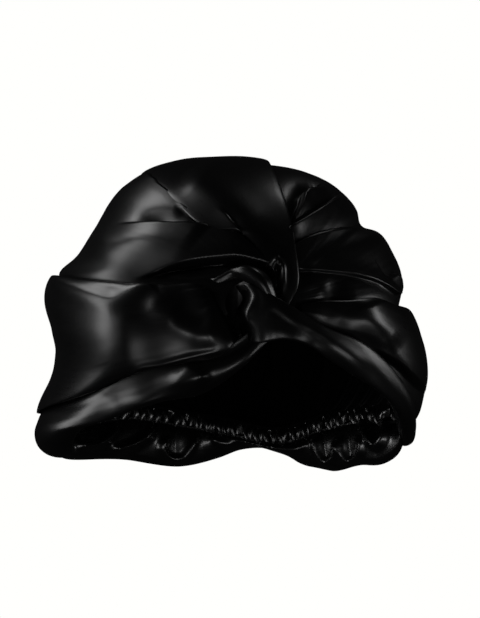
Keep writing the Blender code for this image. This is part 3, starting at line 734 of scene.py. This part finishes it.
crossingBand = {
    "section": turnedIn,
    "loft": 8.0,
    "steps": (260, 90),
    "edges": (
        (0.064, -0.174, 0.032, 0.160), (0.148, -0.179, 0.089, 0.156), (0.244, -0.155, 0.163, 0.115),
        (0.348, -0.183, 0.289, 0.029), (0.459, -0.271, 0.430, -0.078), (0.56, -0.355, 0.62, -0.185),
        (0.689, -0.459, 0.748, -0.321), (0.785, -0.569, 0.844, -0.485), (0.826, -0.688, 0.886, -0.645),
        (0.824, -0.805, 0.876, -0.795),
    ),
    "tail": None,  # it ends with its last edges
    "hem": ((0.00, 8.0), (0.12, 8.0), (0.28, 4.0), (0.50, 3.0), (0.75, 1.0), (1.00, 0.4)),
    "endWave": ((0.0, 0.0), (0.2, 0.0), (0.5, -1.8), (0.78, 3.8), (1.0, 0.0)),  # share up, mm across
    "rise": (
        (0.00, -1.2, -0.6), (0.02, 1.0, 0.0), (0.06, 2.5, 0.2), (0.12, 3.2, 0.3), (0.24, 3.2, 0.4),
        (0.40, 2.9, 0.5), (0.58, 2.9, 0.4), (0.80, 2.6, 0.6), (0.95, 2.2, 0.3), (1.00, -0.4, 0.1),
    ),
    "folds": (
        {"line": ((26, 113), (40, 103), (54, 95), (68, 88)),
         "high": (0.6, 7), "low": (0.6, 7), "edge": 3.0},
    ),
    "swells": (
        {"line": ((12, 121), (13, 113), (10.5, 106), (13, 97)), "lift": 1.0, "reach": (3, 4)},
        {"line": ((14, 89), (34, 91), (54, 80)), "lift": 1.8, "reach": (10, 4), "ends": (0.4, 0.6)},
        {"line": ((52, 97), (74, 84), (96, 64)), "lift": 1.6, "reach": (5, 12), "ends": (0.4, 0.6)},
    ),
    "wrinkles": ((1.6, 3.0, 0.14), (4.0, 8, 0.03)),
    "layout": (0.24, 0.06),
}


def bandEdge(rows, napeShare, shares):
    front = seen(rows)
    lengths = travelled(front)
    knots = lengths / lengths[-1]
    if napeShare is None:
        return unit(through(knots, front, shares))
    before = shares[shares < laying["front"]] / laying["front"]
    after = (shares[shares >= laying["front"]] - laying["front"]) / (1.0 - laying["front"])
    end = unit(nape(napeShare)[0] + laying["tailAbove"])
    tail = sweep(front[-1], front[-1] - front[-2], end, after)
    return np.vstack((unit(through(knots, front, before)), tail))


def bandGrid(band, seed):
    along, over = band["steps"]
    shares = np.linspace(0.0, 1.0, along)
    table = np.array(band["section"])
    knots = travelled(table * (1.0, laying["loftWeight"]))
    section = through(knots, table, np.linspace(0.0, knots[-1], over))
    edges = np.array(band["edges"])
    tail = band["tail"] or (None, None)
    lower = bandEdge(edges[:, :2], tail[0], shares)[:, None, :]
    upper = bandEdge(edges[:, 2:], tail[1], shares)[:, None, :]
    directions = unit(lower + (upper - lower) * section[None, :, :1])
    grid = form(directions)
    outwards = outward(directions)
    rise = np.array(band["rise"])
    layers, loft = through(rise[:, 0], rise[:, 1:], shares).T
    height = section[None, :, 1]
    lifted = layers[:, None] * head["layer"] + loft[:, None] * band["loft"] * 0.001 * height
    grid = grid + outwards * lifted[..., None]
    if "hem" in band:
        hem = np.array(band["hem"])
        turned = through(hem[:, 0], hem[:, 1:], shares) * smooth(*laying["hem"], -height)
        grid = grid - outwards * (head["layer"] * turned)[..., None]
    if "flush" in band:
        first, last, depth = band["flush"]
        leftmost = 1.0 - smooth(0.0, laying["flush"], section[None, :, 0])
        sink = smooth(first, last, shares)[:, None] * leftmost
        grid = grid - outwards * (0.001 * depth * sink)[..., None]
    if "endWave" in band:
        wave = np.array(band["endWave"])
        bend = through(wave[:, 0], wave[:, 1:], section[:, 0])[:, 0]
        grid[..., 0] += 0.001 * bend * (1.0 - smooth(0.0, laying["endWave"], shares))[:, None]
    grid = drape(grid, outwards, band)
    wrinkles = creep((over, along), band["wrinkles"], seed).T * smooth(*laying["wrinkles"], height)
    return grid + outwards * wrinkles[..., None]


# node, values, seed of its wrinkles
bands = (
    ("centre_strap", centreStrap, 21),
    ("left_brim", leftBrim, 22),
    ("left_band", leftBand, 23),
    ("right_band", rightBand, 24),
    ("crossing_band", crossingBand, 25),
)
bandPieces = {}
for node, band, seed in bands:
    piece = cloth(node + "_cloth", bandGrid(band, seed), bandSatin, band)
    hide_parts(node)
    bandPieces[node] = piece
print("bands laid")

knotRoll = {
    "radius": 0.0052,
    "steps": (120, 40),
    "twist": (0.10, 3, 5.0),  # share of the radius, ridges round it, and their turn along it
    "layout": (0.06, 0.03),
    # across, up, lift and radius in roll radii
    "middle": (
        (-0.13, 0.225, -1.4, 0.30), (-0.07, 0.190, -0.7, 0.50), (0.02, 0.235, -0.2, 0.75),
        (0.09, 0.225, 0.6, 1.10), (0.155, 0.165, 1.0, 1.10), (0.205, 0.060, 0.7, 0.60),
    ),
}


def rollGrid():
    table = np.array(knotRoll["middle"])
    along, around = knotRoll["steps"]
    across, up, lift, radius = through(np.linspace(0, 1, len(table)), table, np.linspace(0, 1, along)).T
    surface = form(seen(np.stack((across, up), axis=-1)))
    centre = surface + unit(surface - middle) * (lift * knotRoll["radius"])[:, None]
    run = unit(np.gradient(centre, axis=0))
    side = unit(np.cross(run, centre - middle))
    out = np.cross(side, run)
    turn = np.linspace(0, 2 * math.pi, around)
    share, ridges, turning = knotRoll["twist"]
    twist = 1.0 + share * np.sin(ridges * turn[None, :] + np.linspace(0, turning, along)[:, None])
    size = (radius * knotRoll["radius"])[:, None] * twist
    sideways = side[:, None] * (np.cos(turn)[None, :] * size)[..., None]
    outwards = out[:, None] * (np.sin(turn)[None, :] * size)[..., None]
    grid = centre[:, None] + (sideways + outwards)
    grid[:, -1] = grid[:, 0]
    return grid


rollPiece = cloth("knot_roll_cloth", rollGrid(), bandSatin, knotRoll)
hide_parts("knot_roll")
print("knot rolled")

elastic = {
    "span": (0.03, 0.98),  # shares of the elastic's line
    "steps": (1500, 16),
    "gathers": 62,  # fine tucks along the whole line
    "gatherSeed": 8,
    # least, most, and the marks along the line at which chance changes them
    "stray": (-0.55, 0.55, 90),
    "tall": (0.35, 1.25, 90),
    "depth": 0.0029,
    "lean": 2.4,  # how far the tucks slant from top to bottom, in radians
    "sway": 0.0009,
    "height": 0.0110,
    "hidden": 0.25,  # share of the height that stands up behind the crown
    "roundness": 0.6,
    "hemTucks": 0.35,  # share of the tucks' depth left at the lower edge
    "waist": 0.0004,  # drawn in at half height
    "topOut": 0.006,
    "hemOut": 0.0018,
    "seam": 0.0002,
    "endTuck": 0.004,
    "endShare": 0.15,
    "fade": 0.06,
    "endRise": 0.006,  # the right end climbs behind the crossing band
    "riseShares": (0.86, 0.98),
    "thickness": 0.0008,
    "layout": (0.36, 0.010),
}
frill = {
    "span": (0.05, 0.975),
    "steps": (1150, 40),
    "drop": 0.020,
    "puff": 0.0050,
    "roundness": 0.8,
    "fine": 0.0008,
    "fineTurn": 1.2,
    "fineDown": 0.15,
    "top": 0.0108,
    "hidden": 0.10,  # share of the drop that stands up behind the elastic
    "hiddenHeight": 0.03,
    "curl": 0.0030,  # the hem turns under
    "curlFrom": 0.80,
    "thickness": 0.0005,
    "layout": (0.50, 0.022),
    # share along, drop and flare, in drops
    "shape": (
        (0.00, 0.50, -0.30), (0.10, 0.85, -0.25), (0.20, 1.15, 0.00), (0.28, 1.40, 0.15),
        (0.38, 1.30, 0.20), (0.46, 0.80, 0.45), (0.50, 0.45, 0.60), (0.54, 0.25, 0.70),
        (0.62, 0.35, 0.70), (0.70, 1.00, 0.40), (0.76, 1.40, 0.15), (0.84, 1.40, 0.00),
        (0.90, 1.33, -0.12), (0.94, 0.92, -0.25), (0.96, 0.55, -0.35), (0.98, 0.05, -0.40),
        (1.00, 0.05, -0.45),
    ),
    # share, width and depth in mm of each gather, and how far its foot lies to the right
    "gathers": (
        (0.10, 6, 1.6, -8), (0.155, 5, 1.2, -9), (0.21, 6, 1.6, -9), (0.29, 6, 1.6, -5), (0.345, 5, 1.4, 3),
        (0.41, 5, 1.4, 4), (0.46, 5, 1.6, 3), (0.53, 5, 1.2, 0), (0.61, 5, 1.2, -2), (0.69, 6, 1.4, -3),
        (0.755, 5, 1.4, 2), (0.825, 5, 1.4, 2), (0.89, 5, 1.4, 2),
    ),
    "gatherTop": 0.35,  # a gather's width at the top, against that at its foot
    "gatherPull": 0.0005,  # for each mm of its depth
    "gatherShape": 1.3,
    "gatherStart": (0.0, 0.12),
    "gatherEnd": (0.55, 1.0),
    # the loops and slanting tucks that show inside, towards the front
    "swells": (
        {"line": ((-107, 17), (-94, 17), (-85, 22), (-78, 30)),
         "lift": 4.5, "reach": (3.0, 4.0), "ends": (0.15, 0.85)},
        {"line": ((-84, 12), (-68, 16.5), (-60, 21), (-54, 29)),
         "lift": 4.5, "reach": (3.0, 4.0), "ends": (0.15, 0.85)},
        {"line": ((-43, 23), (-47.5, 12), (-43.5, 6), (-33.5, 5.5), (-28, 12), (-23, 23)),
         "lift": 3.6, "reach": (3.0, 2.6), "ends": (0.15, 0.85)},
        {"line": ((-15, 21), (-6, 16), (6, 13.5)), "lift": 2.4, "reach": (2.4, 2.6)},
        {"line": ((20, 18), (34, 12), (48, 13), (57, 19)), "lift": 2.4, "reach": (2.6, 2.4)},
        {"line": ((60, 24), (61, 10), (67.5, 3.5), (74, 9), (75.5, 20)),
         "lift": 3.6, "reach": (2.8, 2.6), "ends": (0.15, 0.85)},
        {"line": ((77, 24), (78, 10), (83.5, 4), (89.5, 9), (92, 24)),
         "lift": 3.6, "reach": (2.8, 2.6), "ends": (0.15, 0.85)},
        {"line": ((92, 38), (95, 25), (101.5, 17), (107, 25), (110, 38)),
         "lift": 4.6, "reach": (3.6, 3.2), "ends": (0.15, 0.85)},
    ),
}


def napeStrip(span, count):
    # shares, points of the elastic's line, the ways out and along, and the phase and depth of its tucks
    shares = np.linspace(*span, count)
    line = form(nape(shares))
    run = np.gradient(line, axis=0)
    out = unit(np.stack((-run[:, 1], run[:, 0], 0 * run[:, 2]), axis=-1))
    starting = smooth(0.0, elastic["endShare"], shares)
    free = starting * smooth(1.0, 1.0 - elastic["endShare"], shares)
    line = line - out * (elastic["endTuck"] * (1.0 - free))[:, None]
    line[:, 2] += elastic["endRise"] * smooth(*elastic["riseShares"], shares)
    fade = starting * smooth(1.0, 1.0 - elastic["fade"], shares)
    rng = np.random.default_rng(elastic["gatherSeed"])
    phase = 2 * math.pi * (elastic["gathers"] * shares + uneven(rng, elastic["stray"], shares))
    tall = uneven(rng, elastic["tall"], shares)
    return shares, line, out, unit(run * (1.0, 1.0, 0.0)), phase, tall * fade


def elasticGrid():
    _, line, out, along, phase, tall = napeStrip(elastic["span"], elastic["steps"][0])
    rows = []
    for share in np.linspace(-elastic["hidden"], 1.0, elastic["steps"][1]):
        belly = math.sin(math.pi * min(max(share, 0.0), 1.0)) ** elastic["roundness"]
        slant = elastic["lean"] * (share - 0.5) * np.cos(0.5 * phase)
        firm = belly if share < 0.5 else elastic["hemTucks"] + (1.0 - elastic["hemTucks"]) * belly
        push = elastic["depth"] * tall * firm * np.sin(phase + slant)
        # the top edge lies outside the crown's lower edge, and from the front behind it
        inward = elastic["waist"] * belly + elastic["topOut"] * min(share, 0.0) - elastic["hemOut"] * share
        sway = elastic["sway"] * tall * np.cos(phase + slant)
        drop = elastic["seam"] + elastic["height"] * share
        rows.append(line + out * (push - inward)[:, None] + along * sway[:, None] - np.array((0, 0, drop)))
    return np.stack(rows, axis=1)


def frillGrid():
    shares, line, out, _, phase, tall = napeStrip(frill["span"], frill["steps"][0])
    table = np.array(frill["shape"])
    drop, flare = through(table[:, 0], table[:, 1:], shares).T * frill["drop"]
    distances = travelled(line) * 1000.0
    rows = []
    for share in np.linspace(-frill["hidden"], 1.0, frill["steps"][1]):
        at = max(share, 0.0)
        belly = math.sin(math.pi * at ** frill["roundness"]) ** frill["roundness"]
        push = flare * at - frill["puff"] * belly
        for place, width, depth, foot in frill["gathers"]:
            off = distances - np.interp(place, shares, distances) - foot * at
            reach = width * (frill["gatherTop"] + (1.0 - frill["gatherTop"]) * at)
            pull = frill["gatherPull"] * depth * (1.0 - smooth(*frill["gatherEnd"], at))
            pull = pull * smooth(*frill["gatherStart"], at)
            push = push + pull * np.exp(-np.abs(off / reach) ** frill["gatherShape"])
        fine = frill["fine"] * tall * np.sin(phase + frill["fineTurn"] * at)
        push = push + fine * (1.0 - smooth(0.0, frill["fineDown"], at))
        curl = frill["curl"] * smooth(frill["curlFrom"], 1.0, at) ** 2
        row = line + out * (push + curl)[:, None]
        row[:, 2] -= frill["top"] + drop * at + frill["hiddenHeight"] * min(share, 0.0)
        rows.append(row)
    grid = np.stack(rows, axis=1)
    return drape(grid, np.broadcast_to(-out[:, None], grid.shape), frill)


elasticPiece = cloth("nape_elastic_cloth", elasticGrid(), casingSatin, elastic)
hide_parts("nape_elastic")
frillPiece = cloth("nape_ruffle_cloth", frillGrid(), frillSatin, frill)
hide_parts("nape_ruffle")
print("elastic and frill gathered")

for piece in (crownPiece, rollPiece, elasticPiece, frillPiece, *bandPieces.values()):
    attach(piece, "root")

# camera square to the front, as far off as keeps the view flat
viewpoint = {
    "across": 0.0072,
    "up": 0.1104,  # from the foot of the head form
    "distance": 3.0,
    "frameHeight": 0.424,  # what the view takes in at that distance
    "sensor": 36.0,  # in mm
    "farthest": 60.0,
}
camera = bpy.data.cameras.new("camera")
camera.sensor_width = viewpoint["sensor"]
camera.lens = viewpoint["sensor"] * viewpoint["distance"] / viewpoint["frameHeight"]
camera.clip_end = viewpoint["farthest"]
cameraStand = bpy.data.objects.new("camera", camera)
cameraStand.location = (viewpoint["across"], -viewpoint["distance"], viewpoint["up"] - head["seatHeight"])
cameraStand.rotation_euler = (math.radians(90), 0.0, 0.0)
bpy.context.scene.collection.objects.link(cameraStand)
bpy.context.scene.camera = cameraStand

studio = {
    "floorDrop": 0.75,
    "floorSize": 16.0,
    "floorGlow": 0.7,
    "floorColour": (0.82, 0.82, 0.80, 1.0),
    "floorRoughness": 0.8,
    "air": (1.0, 1.0, 0.985, 1.0),
    "background": 1.0,  # as the camera sees it
    "surround": 0.005,  # as the cloth sees it
    # place, size wide and tall, power
    "lights": {
        "left_box": ((-1.48, -0.34, 0.14), (0.50, 1.80), 10.5),
        "low_left_box": ((-0.34, -1.06, -0.82), (0.30, 0.25), 0.95),
        "right_box": ((1.49, 0.10, 0.10), (0.35, 0.60), 2.5),
        "top_left_box": ((-0.90, 0.15, 1.04), (0.60, 0.40), 3.2),
        "top_right_box": ((0.55, 0.45, 1.15), (0.30, 0.25), 0.6),
        "low_box": ((0.14, -1.20, -0.80), (0.30, 0.50), 1.2),
        "low_right_box": ((1.15, -0.80, -0.72), (0.40, 0.30), 1.2),
    },
}


def addLights():
    for name, (place, size, power) in studio["lights"].items():
        light = bpy.data.lights.new(name, "AREA")
        light.shape = "ELLIPSE"
        light.size, light.size_y = size
        light.energy = power
        stand = bpy.data.objects.new(name, light)
        stand.location = place
        aim = middle - place
        tilt = math.atan2(math.hypot(aim[0], aim[1]), -aim[2])
        stand.rotation_euler = (tilt, 0.0, math.atan2(-aim[0], aim[1]))
        bpy.context.scene.collection.objects.link(stand)


def addSurround():
    world = bpy.data.worlds.new("studio")
    world.use_nodes = True
    tree = world.node_tree
    background = tree.nodes["Background"]
    background.inputs["Color"].default_value = studio["air"]
    start = Wire(tree, None)
    straight = start.node("ShaderNodeLightPath", out="Is Camera Ray")
    bright = straight * (studio["background"] - studio["surround"]) + studio["surround"]
    tree.links.new(bright.socket, background.inputs["Strength"])
    bpy.context.scene.world = world


def addFloor():
    half = studio["floorSize"] / 2
    level = -head["seatHeight"] - studio["floorDrop"]
    mesh = bpy.data.meshes.new("floor")
    corners = [(x * half, y * half, level) for x, y in ((-1, -1), (1, -1), (1, 1), (-1, 1))]
    mesh.from_pydata(corners, [], [(0, 1, 2, 3)])
    material = bpy.data.materials.new("pale_floor")
    material.use_nodes = True
    shader = material.node_tree.nodes["Principled BSDF"]
    shader.inputs["Base Color"].default_value = studio["floorColour"]
    shader.inputs["Roughness"].default_value = studio["floorRoughness"]
    shader.inputs["Emission Color"].default_value = studio["air"]
    shader.inputs["Emission Strength"].default_value = studio["floorGlow"]
    mesh.materials.append(material)
    floor = bpy.data.objects.new("floor", mesh)
    floor.visible_glossy = False
    floor.visible_diffuse = False
    bpy.context.scene.collection.objects.link(floor)


addLights()
addSurround()
addFloor()
bpy.context.scene.view_settings.view_transform = "Standard"
print("studio set")
